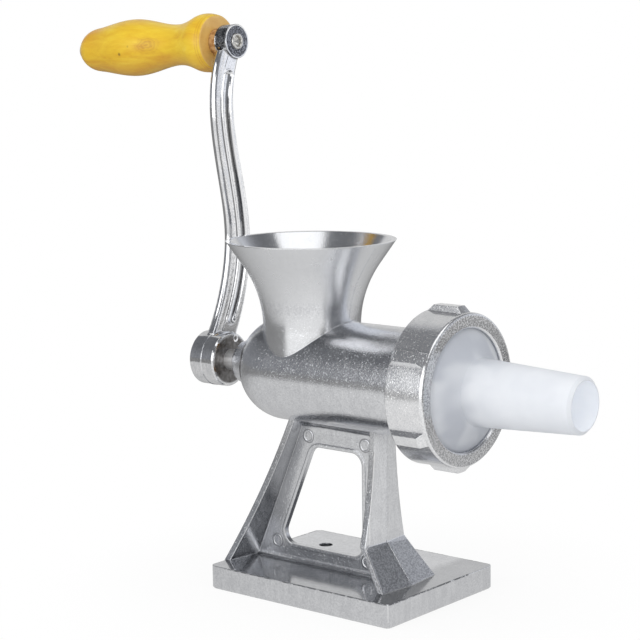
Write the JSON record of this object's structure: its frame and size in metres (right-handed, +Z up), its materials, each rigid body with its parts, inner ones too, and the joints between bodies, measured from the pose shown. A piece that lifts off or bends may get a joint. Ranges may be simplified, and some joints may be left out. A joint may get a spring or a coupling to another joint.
{
  "type": "hand crank meat grinder",
  "caption": "Cast aluminium hand crank meat grinder on a flat base, with a round hopper, a feed screw, a ring nut, a white stuffing tube and a turned wooden handle.",
  "frame": {"origin": "on the base's underside, where its cross rib meets the base's long middle line", "axes": "+X along the barrel towards the outlet, +Y to the left of someone who looks along +X, +Z up"},
  "size_m": [0.3679, 0.1065, 0.3213],
  "materials": {
    "cast_aluminium": "tumbled die casting, satin",
    "polished_aluminium": "polished die casting",
    "steel": "plain machined steel",
    "bronze": "sintered bronze bush",
    "copper": "dull copper-plated ferrule",
    "white_plastic": "frosted white polypropylene",
    "nylon": "moulded nylon",
    "varnished_wood": "yellow varnished turned wood"
  },
  "bodies": {
    "casting": {"body_casting": "cast_aluminium", "rear_bushing": "bronze", "hole_plate": "steel", "plate_key": "steel"},
    "crank": {"crank_arm": "polished_aluminium", "crank_bolt": "steel", "crank_washer": "steel", "crank_lock_washer": "steel", "drive_shank": "steel", "feed_screw": "cast_aluminium", "thrust_washer": "nylon", "knife_stud": "steel", "knife": "steel", "handle_spindle": "steel", "handle_spacer": "copper", "handle_end_washer": "steel"},
    "grip": {"handle_grip": "varnished_wood"},
    "tube": {"stuffing_tube": "white_plastic"},
    "ring": {"ring_nut": "cast_aluminium"}
  },
  "joints": [
    {"name": "crank_spin", "type": "hinge", "parent": "casting", "child": "crank", "pos_m": [0, -0.0113, 0.1244], "axis": [1, 0, 0], "continuous": true},
    {"name": "handle_spin", "type": "hinge", "parent": "crank", "child": "grip", "pos_m": [-0.08883, 0.00483, 0.30518], "axis": [0.9992, 0.0036, 0.04], "continuous": true},
    {"name": "tube_slide", "type": "slide", "parent": "casting", "child": "tube", "axis": [1, 0, 0], "range_m": [0, 0.012]},
    {"name": "ring_turn", "type": "hinge", "parent": "tube", "child": "ring", "pos_m": [0.07, -0.0113, 0.1244], "axis": [1, 0, 0], "range_deg": [0, 1440]}
  ],
  "couplings": [
    {"joint": "ring_turn", "follows": "tube_slide", "rad_per_m": 2094.4}
  ]
}
